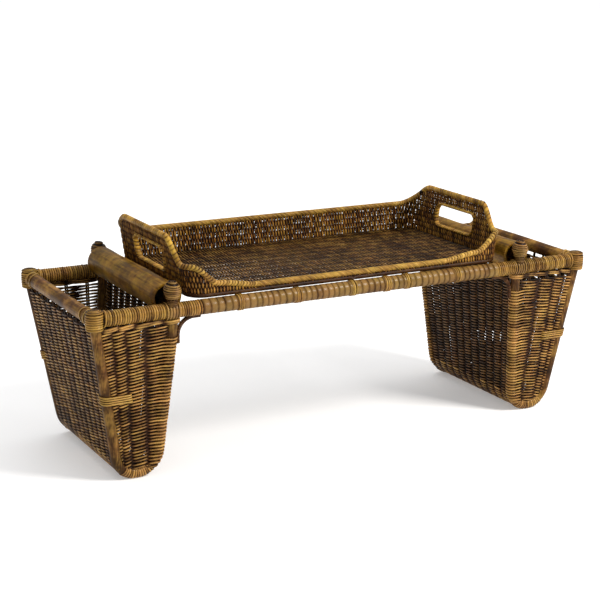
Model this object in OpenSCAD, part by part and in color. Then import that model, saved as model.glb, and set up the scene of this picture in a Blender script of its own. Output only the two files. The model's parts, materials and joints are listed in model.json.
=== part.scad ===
// Woven bed tray on two basket legs.
// Frame: X along the length, Y towards the back, Z up.
// Origin: on the ground, under the middle of the tray.

/* [Stand] */
// End rail axis to end rail axis, along the length
rail_len = 776; // [700:1:900]
// Front rail axis to rear rail axis
rail_dep = 258.4; // [230:0.1:310]
// Height of the rail axes above the ground
rail_h = 234.3; // [195:0.1:290]
// Diameter of the bare front and rear rail poles
rail_core_d = 17; // [14:0.5:18]
// Diameter of the cane-wrapped rails
rail_d = 21.3; // [19:0.1:22]
// Diameter over the band rings on the rails
band_d = 23; // [22.5:0.1:25]
// Diameter of the bare end rails
end_rail_d = 20; // [17:0.5:22]
// Diameter of the ringed corner caps
cap_d = 25; // [24:0.5:28]

/* [Baskets] */
// Basket bottom axis, measured in from the end rail axis
basket_in = 63; // [58:1:80]
// Outside radius of the rounded basket bottom
bottom_r = 38; // [34:0.5:46]
// Pole diameter of the U frames
pole_d = 15; // [13:0.5:17]
// Lean of the outer leg, degrees
outer_lean = 9.4; // [8:0.1:11]
// Lean of the inner leg, degrees
inner_lean = 5.2; // [4:0.1:6]
// How much narrower the foot is than the top, front and back each
foot_in = 24.1; // [15:0.1:32]
// Thickness of the woven basket walls
weave_t = 5; // [3.5:0.5:5.5]
// Diameter of the thick fence bar over the inner wall
fence_d = 43; // [36:1:46]
// Wall thickness of the hollow fence bar
fence_wall = 4.5; // [3:0.5:7]
// Height of the fence bar axis above the rail axis
fence_up = 15.7; // [14:0.1:18]
// Diameter of the ball knobs
knob_d = 24.5; // [22:0.5:26]
// Rod diameter of the small braces
brace_d = 6.5; // [5:0.5:8]

/* [Tray] */
// Length of the tray base
tray_len = 502; // [440:1:506]
// Depth of the tray base
tray_dep = 254; // [236:1:258]
// Plan corner radius of the tray
tray_r = 26; // [20:1:40]
// Outward flare of the walls, degrees
flare = 8.6; // [4:0.1:10]
// Top of the front border above the tray base
front_h = 13.2; // [12:0.2:24]
// Top of the rear border above the tray base
rear_h = 48; // [36:1:60]
// Top of the raised handles above the tray base
grip_h = 78.5; // [70:0.5:90]
// Thickness of the woven tray walls
wall_t = 6; // [5:0.5:8]
// Width of the hand slots
slot_w = 104; // [90:1:116]
// Height of the hand slots
slot_h = 34; // [28:1:38]
// Height of the slot middle above the tray base
slot_mid = 39; // [34:1:46]

/* [Hidden] */
$fn = 64;
cut = 0.01;
// Stand
rx = rail_len / 2;
ry = rail_dep / 2;
rest_gap = 0.3;
bx = rx - basket_in;
pr = pole_d / 2;
ar = bottom_r - pr;
tilt = atan(foot_in / rail_h);
foot_y = ry - foot_in;
// The pole thins by this much where it is bent
bend_thin = 0.1;
// The round feet are worn flat by this much where they stand
worn = 0.5;
fz = pr - worn;
az = fz + ar * cos(tilt);
leg_len = rail_h * 1.15;
// Offset of the inner and outer skins of a basket wall from the pole axis
skin_in = 1.5;
skin_out = skin_in + weave_t;
lean_o = atan(tan(outer_lean) / cos(tilt));
lean_i = atan(tan(inner_lean) / cos(tilt));
// Height of the leg tops along X at the rail
inner_x = bx - ar * cos(lean_i) - (rail_h - az + ar * sin(lean_i)) * tan(lean_i);
post_x = inner_x + 3.8;
fence_x = inner_x + 6;
fence_z = rail_h + fence_up;
post_d = 15;
post_y = ry + 5;
post_top = rail_h + rail_d / 2 + 7;
knob_z = post_top + knob_d / 2 - 1;
cap_bot = rail_h - 14;
cap_top = rail_h + 13.5;
flat_half = inner_x - 38;
// Places of the bands on the rails, as shares of that half length
band_at = [-0.755, -0.386, -0.019, 0.214, 0.357, 0.709];
brace_r = 24;
// Tray
tz = rail_h + band_d / 2 + rest_gap;
hoop_h = 4.6;
hoop_w = 7;
floor_h = 1.2;
hl = tray_len / 2;
hd = tray_dep / 2;
rim_h = 7.6;
lining_t = 2.5;
// Straight runs between the plan corners
run_x = hl - tray_r;
run_y = hd - tray_r;
arc_len = tray_r * PI / 2;
// Only a quarter of the flare on the long walls
long_flare = 0.25;

function smooth(t) = t <= 0 ? 0 : t >= 1 ? 1 : t * t * (3 - 2 * t);
// Border top above the tray base. u runs from the front corner towards the handle.
shoulder = front_h + 31.5;
function top_u(u) =
  front_h + 7.5 * smooth((u + 75) / 60) + 24 * smooth((u + 16) / 36)
  + (grip_h - shoulder) * smooth((u - 37) / 42);
// v runs from the handle end of the rear corner round to the rear wall.
function top_v(v) = rear_h + (grip_h - rear_h) * smooth((38 - v) / 60);

// A station is [x, y, outward x, outward y, height of the wall top].
n_corner = 9;
n_long = 36;
n_end = 56;
function st_front(x) = [x, -hd, 0, -1, top_u(abs(x) - run_x) - rim_h];
function st_rear(x) = [x, hd, 0, 1, top_v(arc_len) - rim_h];
function st_end(y) = [hl, y, 1, 0,
  (y < 0 ? top_u(arc_len + y + run_y) : top_v(y - run_y)) - rim_h];
function st_cf(a) = [run_x + tray_r * sin(a), -run_y - tray_r * cos(a),
  sin(a), -cos(a), top_u(arc_len * a / 90) - rim_h];
function st_cr(a) = [run_x + tray_r * cos(a), run_y + tray_r * sin(a),
  cos(a), sin(a), top_v(arc_len * a / 90) - rim_h];
right_cf = [for (k = [1 : n_corner]) st_cf(90 * k / n_corner)];
right_cr = [for (k = [0 : n_corner - 1]) st_cr(90 * k / n_corner)];
function flip(p) = [-p[0], p[1], -p[2], p[3], p[4]];
front_run = concat(
  [for (k = [n_corner - 1 : -1 : 0]) flip(right_cf[k])],
  [for (i = [0 : n_long]) st_front(-run_x + 2 * run_x * i / n_long)],
  right_cf);
rear_run = concat(
  right_cr,
  [for (i = [0 : 12]) st_rear(run_x - 2 * run_x * i / 12)],
  [for (k = [n_corner - 1 : -1 : 0]) flip(right_cr[k])]);
end_run = [for (i = [0 : n_end]) st_end(-run_y + 2 * run_y * i / n_end)];

// Point on a station: d inward from the outer face, h above the tray base.
function at(s, d, h) = [
  s[0] + s[2] * (h * tan(flare) - d),
  s[1] + s[3] * (h * tan(flare) * long_flare - d),
  tz + h];

// Strip swept along stations. sec lists [d, h, 1 if h counts from the wall top].
// other splits each patch along its other diagonal, so that a strip meets the one below.
module swept(sts, sec, other = false) {
  m = len(sec);
  n = len(sts);
  pts = [for (s = sts) for (q = sec) at(s, q[0], q[2] == 1 ? s[4] + q[1] : q[1])];
  side = [for (i = [0 : n - 2]) for (j = [0 : m - 1]) for (k = [0, 1])
    let (a = i * m + j, b = i * m + (j + 1) % m, c = b + m, d = a + m)
    k == 0 ? [a, b, other ? d : c] : other ? [b, c, d] : [a, c, d]];
  ends = [
    [for (j = [m - 1 : -1 : 0]) j],
    [for (j = [0 : m - 1]) (n - 1) * m + j]];
  polyhedron(pts, concat(side, ends), convexity = 6);
}

wall_sec = [[0, hoop_h, 0], [wall_t, hoop_h, 0], [wall_t, 0, 1], [0, 0, 1]];
rim_sec = [[0, 0, 1], [wall_t, 0, 1], [wall_t + 1.6, 2.4, 1], [wall_t + 1.2, 5.4, 1],
  [wall_t / 2, rim_h, 1], [-1.2, 5.4, 1], [-1.6, 2.4, 1]];

module both_x() { children(); mirror([1, 0, 0]) children(); }
module both_y() { children(); mirror([0, 1, 0]) children(); }

module rounded(l, d, r) {
  square([l - 2 * r, d], center = true);
  square([l, d - 2 * r], center = true);
  for (x = [-1, 1]) for (y = [-1, 1])
    translate([x * (l / 2 - r), y * (d / 2 - r)]) circle(r);
}

// Outline of a hand slot, y and height above the tray base
module slot_2d(g) { translate([0, slot_mid]) rounded(slot_w - 2 * g, slot_h - 2 * g, 12 - g); }
// Part of an outline, drawn along X, that lies in the slanted right end wall
module in_end_wall(proud) {
  intersection() {
    translate([hl - 40, 0, tz]) rotate([90, 0, 90]) linear_extrude(80) children();
    translate([hl + proud, 0, tz]) rotate([0, flare, 0])
      translate([-(wall_t + 2 * proud) * cos(flare), -hd, -20])
      cube([(wall_t + 2 * proud) * cos(flare), 2 * hd, 200]);
  }
}

module tray_floor() {
  color([0.32, 0.18, 0.07]) translate([0, 0, tz + floor_h])
    linear_extrude(hoop_h - floor_h)
    rounded(tray_len - 2 * hoop_w, tray_dep - 2 * hoop_w, tray_r - hoop_w);
}
module tray_base_hoop() {
  color([0.45, 0.27, 0.1]) translate([0, 0, tz]) linear_extrude(hoop_h) difference() {
    rounded(tray_len, tray_dep, tray_r);
    rounded(tray_len - 2 * hoop_w, tray_dep - 2 * hoop_w, tray_r - hoop_w);
  }
}
module tray_front_wall() { color([0.4, 0.24, 0.09]) swept(front_run, wall_sec); }
module tray_rear_wall() { color([0.4, 0.24, 0.09]) swept(rear_run, wall_sec); }
module tray_front_border() { color([0.62, 0.42, 0.16]) swept(front_run, rim_sec, true); }
module tray_rear_border() { color([0.62, 0.42, 0.16]) swept(rear_run, rim_sec, true); }
module tray_right_end_wall() {
  color([0.42, 0.25, 0.1]) in_end_wall(0) difference() {
    polygon(concat(
      [[run_y, hoop_h], [-run_y, hoop_h]],
      [for (p = end_run) [p[1], p[4]]]));
    slot_2d(0);
  }
}
module tray_right_border() { color([0.66, 0.46, 0.18]) swept(end_run, rim_sec, true); }
module tray_right_slot_lining() {
  color([0.66, 0.42, 0.14]) in_end_wall(1) difference() {
    slot_2d(0);
    slot_2d(lining_t);
  }
}
module tray_left_end_wall() { mirror([1, 0, 0]) tray_right_end_wall(); }
module tray_left_border() { mirror([1, 0, 0]) tray_right_border(); }
module tray_left_slot_lining() { mirror([1, 0, 0]) tray_right_slot_lining(); }

// Solid cylinder along X at the front rail axis
module along_front(d, x0, x1) {
  translate([x0, -ry, rail_h]) rotate([0, 90, 0]) cylinder(h = x1 - x0, d = d);
}
module rail_space() { along_front(rail_d, -rx, rx); }
module cap_space() {
  translate([rx, -ry, cap_bot]) cylinder(h = cap_top - cap_bot, d = cap_d);
}
module front_rail() {
  color([0.5, 0.3, 0.12]) difference() {
    along_front(rail_core_d, -rx, rx);
    both_x() cap_space();
  }
}
module front_rail_cane_wrap() {
  color([0.62, 0.44, 0.2]) both_x() difference() {
    along_front(rail_d, flat_half, rx);
    along_front(rail_core_d, flat_half - 1, rx + 1);
    cap_space();
  }
}
module front_rail_flat_wrap() {
  color([0.6, 0.4, 0.16]) difference() {
    along_front(rail_d - 1, -flat_half, flat_half);
    along_front(rail_core_d, -flat_half - 1, flat_half + 1);
  }
}
module band_ring() {
  r = 1.35;
  rotate([0, 90, 0]) rotate_extrude() difference() {
    for (k = [-1 : 1]) translate([band_d / 2 - r, 2.3 * k]) circle(r);
    translate([0, -8]) square([(rail_d - 1) / 2, 16]);
  }
}
module front_rail_bands() {
  color([0.5, 0.3, 0.12]) for (k = band_at)
    translate([k * flat_half, -ry, rail_h]) band_ring();
}
module rear_rail() { mirror([0, 1, 0]) front_rail(); }
module rear_rail_cane_wrap() { mirror([0, 1, 0]) front_rail_cane_wrap(); }
module rear_rail_flat_wrap() { mirror([0, 1, 0]) front_rail_flat_wrap(); }
module rear_rail_bands() { mirror([0, 1, 0]) front_rail_bands(); }

module right_front_cap() {
  color([0.58, 0.38, 0.16]) translate([rx, -ry, cap_bot]) rotate_extrude() {
    h = cap_top - cap_bot;
    square([cap_d / 2, h - 3]);
    square([cap_d / 2 - 3, h]);
    translate([cap_d / 2 - 3, h - 3]) difference() {
      circle(3);
      translate([-4, -4]) square([4, 8]);
    }
  }
}
module end_space(d, y) {
  translate([rx, y, rail_h]) rotate([90, 0, 0]) cylinder(h = 2 * y, d = d);
}
module right_end_rail() {
  color([0.5, 0.28, 0.1]) difference() {
    end_space(end_rail_d, ry);
    both_y() cap_space();
    both_y() rail_space();
  }
}
module right_end_bindings() {
  color([0.6, 0.4, 0.16]) both_y() difference() {
    end_space(end_rail_d + 2.4, ry);
    end_space(end_rail_d, ry + 1);
    translate([0, 0, rail_h]) cube([4 * rx, 2 * (ry - cap_d / 2 - 20), 60], center = true);
    translate([rx - 30, 0, rail_h - 30]) cube([60, ry, 60]);
    cap_space();
    rail_space();
    right_outer_wall();
  }
}

// Plane of a front U frame: X as is, Y up the slope, Z outward
foot_ax = foot_y + foot_in * fz / rail_h;
v_top = (rail_h - fz) / cos(tilt);
module u_plane() { translate([0, -foot_ax, fz]) rotate([90 + tilt, 0, 0]) children(); }
module outer_leg(d, a, b) {
  translate([bx + ar * cos(outer_lean), ar - ar * sin(outer_lean), 0])
    rotate([0, 0, -outer_lean]) translate([0, a, 0]) rotate([-90, 0, 0])
    cylinder(h = b - a, d = d);
}
module inner_leg(d, a, b) {
  translate([bx - ar * cos(inner_lean), ar - ar * sin(inner_lean), 0])
    rotate([0, 0, inner_lean]) translate([0, a, 0]) rotate([-90, 0, 0])
    cylinder(h = b - a, d = d);
}
outer_len = (v_top - ar + ar * sin(outer_lean)) / cos(outer_lean);
inner_len = (v_top - ar + ar * sin(inner_lean)) / cos(inner_lean);
module u_bar() {
  u_plane() {
    outer_leg(pole_d, 0, outer_len);
    inner_leg(pole_d, 0, inner_len);
    translate([bx, ar, 0]) rotate([0, 0, 180 + inner_lean])
      rotate_extrude(angle = 180 - inner_lean - outer_lean)
      translate([ar, 0]) circle(pr - bend_thin);
  }
}
module right_front_leg() {
  color([0.52, 0.32, 0.13]) difference() {
    u_bar();
    cap_space();
    rail_space();
    translate([0, -ry, -pole_d]) cube([2 * rx, ry, pole_d]);
  }
}
module right_front_wall() {
  color([0.48, 0.3, 0.12]) difference() {
    u_plane() translate([0, 0, skin_in]) linear_extrude(weave_t) {
      translate([bx, ar]) circle(ar);
      polygon([
        [bx + ar * cos(outer_lean), ar - ar * sin(outer_lean)],
        [bx + ar * cos(outer_lean) + (v_top - ar + ar * sin(outer_lean)) * tan(outer_lean), v_top],
        [bx - ar * cos(inner_lean) - (v_top - ar + ar * sin(inner_lean)) * tan(inner_lean), v_top],
        [bx - ar * cos(inner_lean), ar - ar * sin(inner_lean)]]);
    }
    u_bar();
    cap_space();
    rail_space();
  }
}
// Space between the front and rear U frames
module between() {
  y0 = foot_ax - (fz + 5) * tan(tilt);
  y1 = foot_ax + (rail_h + 5 - fz) * tan(tilt);
  rotate([90, 0, 90]) linear_extrude(2 * rx)
    polygon([[-y0, -5], [y0, -5], [y1, rail_h + 5], [-y1, rail_h + 5]]);
}
module skin(kind) {
  difference() {
    intersection() {
      translate([0, ry + 5, 0]) rotate([90, 0, 0]) linear_extrude(2 * ry + 10) children();
      between();
    }
    both_y() u_bar();
    both_y() rail_space();
    both_y() cap_space();
  }
}
so = sin(lean_o);
co = cos(lean_o);
si = sin(lean_i);
ci = cos(lean_i);
outer_up = (rail_h - 0.3 - az + ar * so) / co;
inner_up = (rail_h - 0.3 - az + ar * si) / ci;
module right_outer_wall() {
  color([0.4, 0.24, 0.09]) difference() {
    skin() translate([bx, az]) rotate(-lean_o) translate([ar + skin_in, 0])
      square([weave_t, outer_up]);
    end_space(end_rail_d, ry + 1);
  }
}
module right_inner_wall() {
  color([0.4, 0.24, 0.09]) difference() {
    skin() translate([bx, az]) rotate(lean_i) translate([-ar - skin_out, 0])
      square([weave_t, inner_up]);
    fence_space(fence_d, 2 * ry);
  }
}
module right_bottom_wall() {
  k = 3 * bottom_r;
  color([0.38, 0.22, 0.09]) skin() translate([bx, az]) difference() {
    circle(ar + skin_out);
    circle(ar + skin_in);
    polygon([[0, 0], [k * co, -k * so], [k, k], [-k, k], [-k * ci, -k * si]]);
  }
}
module fence_space(d, l) {
  translate([fence_x, l / 2, fence_z]) rotate([90, 0, 0]) cylinder(h = l, d = d);
}
module right_fence_bar() {
  color([0.45, 0.3, 0.12]) difference() {
    fence_space(fence_d, 2 * (ry - 7.7));
    fence_space(fence_d - 2 * fence_wall, 2 * ry);
    both_y() rail_space();
  }
}
module right_front_post() {
  color([0.42, 0.26, 0.12]) difference() {
    translate([post_x, -post_y, rail_h - 7.8])
      cylinder(h = post_top - rail_h + 7.8, d = post_d);
    rail_space();
    u_bar();
  }
}
module right_front_knob() {
  color([0.62, 0.45, 0.2]) difference() {
    translate([post_x, -post_y, knob_z]) sphere(d = knob_d);
    translate([post_x, -post_y, post_top - 10]) cylinder(h = 10, d = knob_d);
  }
}
module right_front_brace() {
  bc = inner_x - 30.4;
  bz = rail_h - 35.8;
  color([0.5, 0.3, 0.12]) difference() {
    translate([bc, -ry + 3.4, bz]) rotate([90, 0, 0]) {
      rotate_extrude(angle = 90) translate([brace_r, 0]) circle(d = brace_d);
      translate([0, brace_r, 0]) rotate([0, -90, 0]) cylinder(h = 9, d = brace_d);
      translate([brace_r, 0, 0]) rotate([90, 0, 0]) cylinder(h = 12, d = brace_d);
    }
    rail_space();
    u_bar();
  }
}
module right_leg_bands() {
  color([0.64, 0.46, 0.2]) both_y() difference() {
    u_plane() outer_leg(pole_d + 3, 84, 96);
    u_bar();
    right_front_wall();
    right_outer_wall();
  }
}
module right_rear_cap() { mirror([0, 1, 0]) right_front_cap(); }
module right_rear_leg() { mirror([0, 1, 0]) right_front_leg(); }
module right_rear_wall() { mirror([0, 1, 0]) right_front_wall(); }
module right_rear_post() { mirror([0, 1, 0]) right_front_post(); }
module right_rear_knob() { mirror([0, 1, 0]) right_front_knob(); }
module right_rear_brace() { mirror([0, 1, 0]) right_front_brace(); }
module left_end_rail() { mirror([1, 0, 0]) right_end_rail(); }
module left_end_bindings() { mirror([1, 0, 0]) right_end_bindings(); }
module left_front_cap() { mirror([1, 0, 0]) right_front_cap(); }
module left_rear_cap() { mirror([1, 0, 0]) right_rear_cap(); }
module left_front_leg() { mirror([1, 0, 0]) right_front_leg(); }
module left_rear_leg() { mirror([1, 0, 0]) right_rear_leg(); }
module left_leg_bands() { mirror([1, 0, 0]) right_leg_bands(); }
module left_front_wall() { mirror([1, 0, 0]) right_front_wall(); }
module left_rear_wall() { mirror([1, 0, 0]) right_rear_wall(); }
module left_outer_wall() { mirror([1, 0, 0]) right_outer_wall(); }
module left_inner_wall() { mirror([1, 0, 0]) right_inner_wall(); }
module left_bottom_wall() { mirror([1, 0, 0]) right_bottom_wall(); }
module left_fence_bar() { mirror([1, 0, 0]) right_fence_bar(); }
module left_front_post() { mirror([1, 0, 0]) right_front_post(); }
module left_rear_post() { mirror([1, 0, 0]) right_rear_post(); }
module left_front_knob() { mirror([1, 0, 0]) right_front_knob(); }
module left_rear_knob() { mirror([1, 0, 0]) right_rear_knob(); }
module left_front_brace() { mirror([1, 0, 0]) right_front_brace(); }
module left_rear_brace() { mirror([1, 0, 0]) right_rear_brace(); }

// Sub-part to draw

front_rail();
rear_rail();
front_rail_cane_wrap();
rear_rail_cane_wrap();
front_rail_flat_wrap();
rear_rail_flat_wrap();
front_rail_bands();
rear_rail_bands();
left_end_rail();
left_end_bindings();
left_front_cap();
left_rear_cap();
left_front_leg();
left_rear_leg();
left_leg_bands();
left_front_wall();
left_rear_wall();
left_outer_wall();
left_inner_wall();
left_bottom_wall();
left_fence_bar();
left_front_post();
left_rear_post();
left_front_knob();
left_rear_knob();
left_front_brace();
left_rear_brace();
right_end_rail();
right_end_bindings();
right_front_cap();
right_rear_cap();
right_front_leg();
right_rear_leg();
right_leg_bands();
right_front_wall();
right_rear_wall();
right_outer_wall();
right_inner_wall();
right_bottom_wall();
right_fence_bar();
right_front_post();
right_rear_post();
right_front_knob();
right_rear_knob();
right_front_brace();
right_rear_brace();
tray_floor();
tray_base_hoop();
tray_front_wall();
tray_rear_wall();
tray_left_end_wall();
tray_right_end_wall();
tray_front_border();
tray_rear_border();
tray_left_border();
tray_right_border();
tray_left_slot_lining();
tray_right_slot_lining();
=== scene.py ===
"""Woven cane bed tray on two basket legs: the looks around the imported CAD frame."""
import json
import math

import bpy
import numpy as np
from mathutils import Matrix, Vector


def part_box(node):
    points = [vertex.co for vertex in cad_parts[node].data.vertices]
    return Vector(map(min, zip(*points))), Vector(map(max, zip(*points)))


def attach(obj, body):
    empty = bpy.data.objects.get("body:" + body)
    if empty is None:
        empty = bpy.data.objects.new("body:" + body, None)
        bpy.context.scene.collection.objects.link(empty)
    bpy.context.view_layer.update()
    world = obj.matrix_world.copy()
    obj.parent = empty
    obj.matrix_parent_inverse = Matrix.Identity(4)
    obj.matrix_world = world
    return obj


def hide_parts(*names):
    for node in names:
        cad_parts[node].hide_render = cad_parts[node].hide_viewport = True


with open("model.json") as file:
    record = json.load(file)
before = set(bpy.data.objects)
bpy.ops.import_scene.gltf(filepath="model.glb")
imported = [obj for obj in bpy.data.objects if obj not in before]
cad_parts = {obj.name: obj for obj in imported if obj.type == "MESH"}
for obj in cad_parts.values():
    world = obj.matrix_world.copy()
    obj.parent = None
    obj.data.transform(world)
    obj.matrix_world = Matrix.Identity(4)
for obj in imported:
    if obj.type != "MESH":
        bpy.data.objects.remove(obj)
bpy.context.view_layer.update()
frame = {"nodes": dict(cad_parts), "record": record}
bpy.ops.object.select_all(action="DESELECT")
rng = np.random.default_rng(7)
MM = 0.001

# ---------------- camera first
camera_data = bpy.data.cameras.new("studio_camera")
camera = bpy.data.objects.new("studio_camera", camera_data)
add_to_scene = bpy.context.scene.collection.objects.link
add_to_scene(camera)
camera_data.lens = 91.96
camera_data.sensor_width = 36.0
camera_data.clip_end = 200.0
camera.location = (-1.0564, -1.9336, 0.7606)
camera.rotation_mode = "XYZ"
yaw, pitch, roll = math.radians(28.25), math.radians(14.62), math.radians(0.427)
ahead = Vector((math.sin(yaw) * math.cos(pitch), math.cos(yaw) * math.cos(pitch), -math.sin(pitch)))
level = Vector((math.cos(yaw), -math.sin(yaw), 0))
over = level.cross(ahead)
right = math.cos(roll) * level + math.sin(roll) * over
up = -math.sin(roll) * level + math.cos(roll) * over
camera.rotation_euler = Matrix((right, up, -ahead)).transposed().to_euler("XYZ")
bpy.context.scene.camera = camera

# ---------------- sizes: the frame's boxes, and the part's own numbers where no box gives them


def middle(node):
    low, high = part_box(node)
    return (np.array(low) + np.array(high)) / 2


def span(node):
    low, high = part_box(node)
    return np.array(high) - np.array(low)


mounts = {m["name"]: m for m in frame["record"]["mounts"]}
# axes of the rails, then half sizes of what is on them
RX = middle("right_end_rail")[0]
RY = -middle("front_rail")[1]
RH = middle("front_rail")[2]
RAIL_R, FLAT_R, BAND_R = (span("front_rail_" + part)[2] / 2 for part in ("cane_wrap", "flat_wrap", "bands"))
FLAT_HALF = span("front_rail_flat_wrap")[0] / 2
END_R = span("right_end_rail")[2] / 2
CAP_R = span("right_front_cap")[0] / 2
CAP_LOW, CAP_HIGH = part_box("right_front_cap")[0][2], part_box("right_front_cap")[1][2]
FENCE = middle("right_fence_bar")
FENCE_R = span("right_fence_bar")[0] / 2
FENCE_HALF = span("right_fence_bar")[1] / 2
KNOB = middle("right_front_knob")
KNOB_R = span("right_front_knob")[0] / 2
POST = middle("right_front_post")
POST_R = span("right_front_post")[0] / 2
# the U poles: foot, radii, leans, and the slope of the front and rear frames
BX = mounts["foot_right_front"]["pos_m"][0]
FOOT_Y = -mounts["foot_right_front"]["pos_m"][1]
POLE_R = 7.5 * MM
BEND_R = 30.5 * MM
OUTER_LEAN, INNER_LEAN = math.radians(9.4), math.radians(5.2)
FZ = 7.0 * MM
TILT = math.atan2(RY - FOOT_Y, RH - FZ)
V_TOP = (RH - FZ) / math.cos(TILT)
# cane on the stand
SHEET = 4.0 * MM  # how far a basket wall's middle lies outside the poles' axes
PITCH = 4.6 * MM  # from one pair of strands to the next
WALING_PITCH = 3.0 * MM
SIDE_TOP = V_TOP - 8.5 * MM
LEG_BAND_AT, LEG_BAND_PITCH = 114.3, 3.3  # in mm
ROUND_PITCH, BAND_PITCH, CAP_PITCH = 3.4 * MM, 3.1 * MM, 3.15 * MM
FENCE_WALL = 4.2 * MM

# the tray: base, half lengths, corners, walls, and the heights of its border and slots
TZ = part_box("tray_base_hoop")[0][2]
HL = span("tray_base_hoop")[0] / 2
HD = span("tray_base_hoop")[1] / 2
TR = 26 * MM
RUN_X, RUN_Y = HL - TR, HD - TR
ARC = TR * math.pi / 2
FLARE = math.tan(math.radians(8.6))
LONG_FLARE = 0.25  # the long walls lean out a quarter as much as the end walls
WALL_T = 6 * MM
RIM_H = 7.6 * MM
FRONT_H, REAR_H, GRIP_H = 13.2 * MM, 48 * MM, 78.5 * MM
SLOT_W, SLOT_H, SLOT_MID, SLOT_R = 104 * MM, 34 * MM, 39 * MM, 12 * MM

# ---------------- mesh from swept strands


ANY_SIDE = 6.28  # a ring may lean to any side


def about(size, share):
    """A size that varies a little from one strand to the next."""
    return size * (1 + rng.normal(0, share))


def draw(low, reach=1.0):
    """A value from low up to low + reach, for tones and for the side that a ring leans to."""
    return low + reach * rng.random()


def unit(rows):
    """Rows brought to length one."""
    return rows / np.linalg.norm(rows, axis=1)[:, None]


def lengths(path):
    """Length along an open run at each of its places."""
    return np.concatenate([[0], np.cumsum(np.linalg.norm(np.diff(path, axis=0), axis=1))])


def read_at(where, along, *runs):
    """Each run of places or ways, read at lengths along the path."""
    return [np.stack([np.interp(where, along, run[:, i]) for i in range(3)], -1) for run in runs]


def smooth(t):
    """An even rise from 0 to 1, slow at both ends."""
    t = np.clip(t, 0, 1)
    return t * t * (3 - 2 * t)


def wobble(count, size):
    """Slow, hand-made unevenness."""
    raw = rng.normal(0, 1, count + 6)
    soft = np.convolve(raw, np.ones(7) / 7, "valid")
    return soft * size * 2.2


END_TAPER = 0.6  # a strand's ends are this much thinner
LAY_STEP = 0.0137  # sets the fibre of one strand apart from the next


class Bundle:
    """Strands gathered into one mesh. Each strand has its own tone, and a crest value that paints light on its
    outward side and shade on its inward side.
    """

    def __init__(self, sides=6):
        self.sides = sides
        self.verts, self.quads, self.caps = [], [], []
        self.tone, self.crest, self.lay = [], [], []
        self.count = 0
        self.serial = 0

    def add(self, points, out, r, wide=None, tone=None, rise=1.0, closed=False):
        """Sweep a strand of oval section through points: r along out, wide across it."""
        p = np.asarray(points, float)
        n, k = len(p), self.sides
        out = np.broadcast_to(np.asarray(out, float), p.shape)
        t = np.roll(p, -1, 0) - np.roll(p, 1, 0) if closed else np.gradient(p, axis=0)
        t /= np.linalg.norm(t, axis=1)[:, None] + 1e-12
        o = out - (out * t).sum(1)[:, None] * t
        o /= np.linalg.norm(o, axis=1)[:, None] + 1e-12
        b = np.cross(t, o)
        r = np.broadcast_to(np.asarray(r, float), (n,)).copy()
        w = r.copy() if wide is None else np.broadcast_to(np.asarray(wide, float), (n,)).copy()
        if not closed:
            r[[0, -1]] *= END_TAPER
            w[[0, -1]] *= END_TAPER
        a = np.arange(k) * 2 * math.pi / k + math.pi / k
        ca, sa = np.cos(a), np.sin(a)
        ring = (p[:, None, :] + w[:, None, None] * ca[None, :, None] * b[:, None, :]
                + r[:, None, None] * sa[None, :, None] * o[:, None, :])
        base = self.count
        self.verts.append(ring.reshape(-1, 3))
        i = np.arange(n if closed else n - 1)[:, None]
        j = np.arange(k)[None, :]
        i2, j2 = (i + 1) % n, (j + 1) % k
        quad = np.stack([i * k + j, i2 * k + j, i2 * k + j2, i * k + j2], -1).reshape(-1, 4)
        self.quads.append(quad + base)
        if not closed:
            self.caps.append([base + q for q in range(k)])
            self.caps.append([base + (n - 1) * k + q for q in range(k - 1, -1, -1)])
        if tone is None:
            tone = rng.random()
        rise = np.broadcast_to(np.asarray(rise, float), (n,))
        self.tone.append(np.full(n * k, tone))
        # crest is painted light and shade: 1 on the side that faces out, 0 on the side that faces in, with rise
        # setting how far and which way
        self.crest.append((0.5 + 0.5 * sa[None, :] * rise[:, None]).reshape(-1))
        self.serial += 1
        lay = np.empty((n, k, 3))
        lay[:, :, 0] = lengths(p)[:, None]
        lay[:, :, 1] = sa[None, :] * w[:, None]
        lay[:, :, 2] = self.serial * LAY_STEP
        self.lay.append(lay.reshape(-1, 3))
        self.count += n * k

    def build(self, name):
        verts = np.concatenate(self.verts)
        quads = np.concatenate(self.quads)
        mesh = bpy.data.meshes.new(name)
        mesh.vertices.add(len(verts))
        mesh.vertices.foreach_set("co", verts.astype(np.float32).ravel())
        sizes = np.concatenate([np.full(len(quads), 4), np.full(len(self.caps), self.sides)]).astype(np.int32)
        loops = np.concatenate([quads.ravel(), np.array(self.caps, int).ravel()]).astype(np.int32)
        mesh.loops.add(len(loops))
        mesh.loops.foreach_set("vertex_index", loops)
        mesh.polygons.add(len(sizes))
        starts = np.concatenate([[0], np.cumsum(sizes)[:-1]]).astype(np.int32)
        mesh.polygons.foreach_set("loop_start", starts)
        mesh.polygons.foreach_set("use_smooth", np.ones(len(sizes), bool))
        for key, data in (("tone", self.tone), ("crest", self.crest)):
            layer = mesh.attributes.new(key, "FLOAT", "POINT")
            layer.data.foreach_set("value", np.concatenate(data).astype(np.float32))
        layer = mesh.attributes.new("lay", "FLOAT_VECTOR", "POINT")
        layer.data.foreach_set("vector", np.concatenate(self.lay).astype(np.float32).ravel())
        mesh.update(calc_edges=True)
        mesh.validate()
        obj = bpy.data.objects.new(name, mesh)
        add_to_scene(obj)
        return obj


def skin(obj, material):
    """One material, and no other, on a piece."""
    obj.data.materials.clear()
    obj.data.materials.append(material)


def finish_piece(obj, material, body, nodes):
    """Give a piece its material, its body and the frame's nodes that it stands for."""
    skin(obj, material)
    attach(obj, body)
    if nodes:
        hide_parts(*nodes)


# ---------------- cane finish


def plug(tree, socket, value):
    """Link an output to a socket, or set the socket's own value."""
    if isinstance(value, bpy.types.NodeSocket):
        tree.links.new(value, socket)
    else:
        socket.default_value = value


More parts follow.
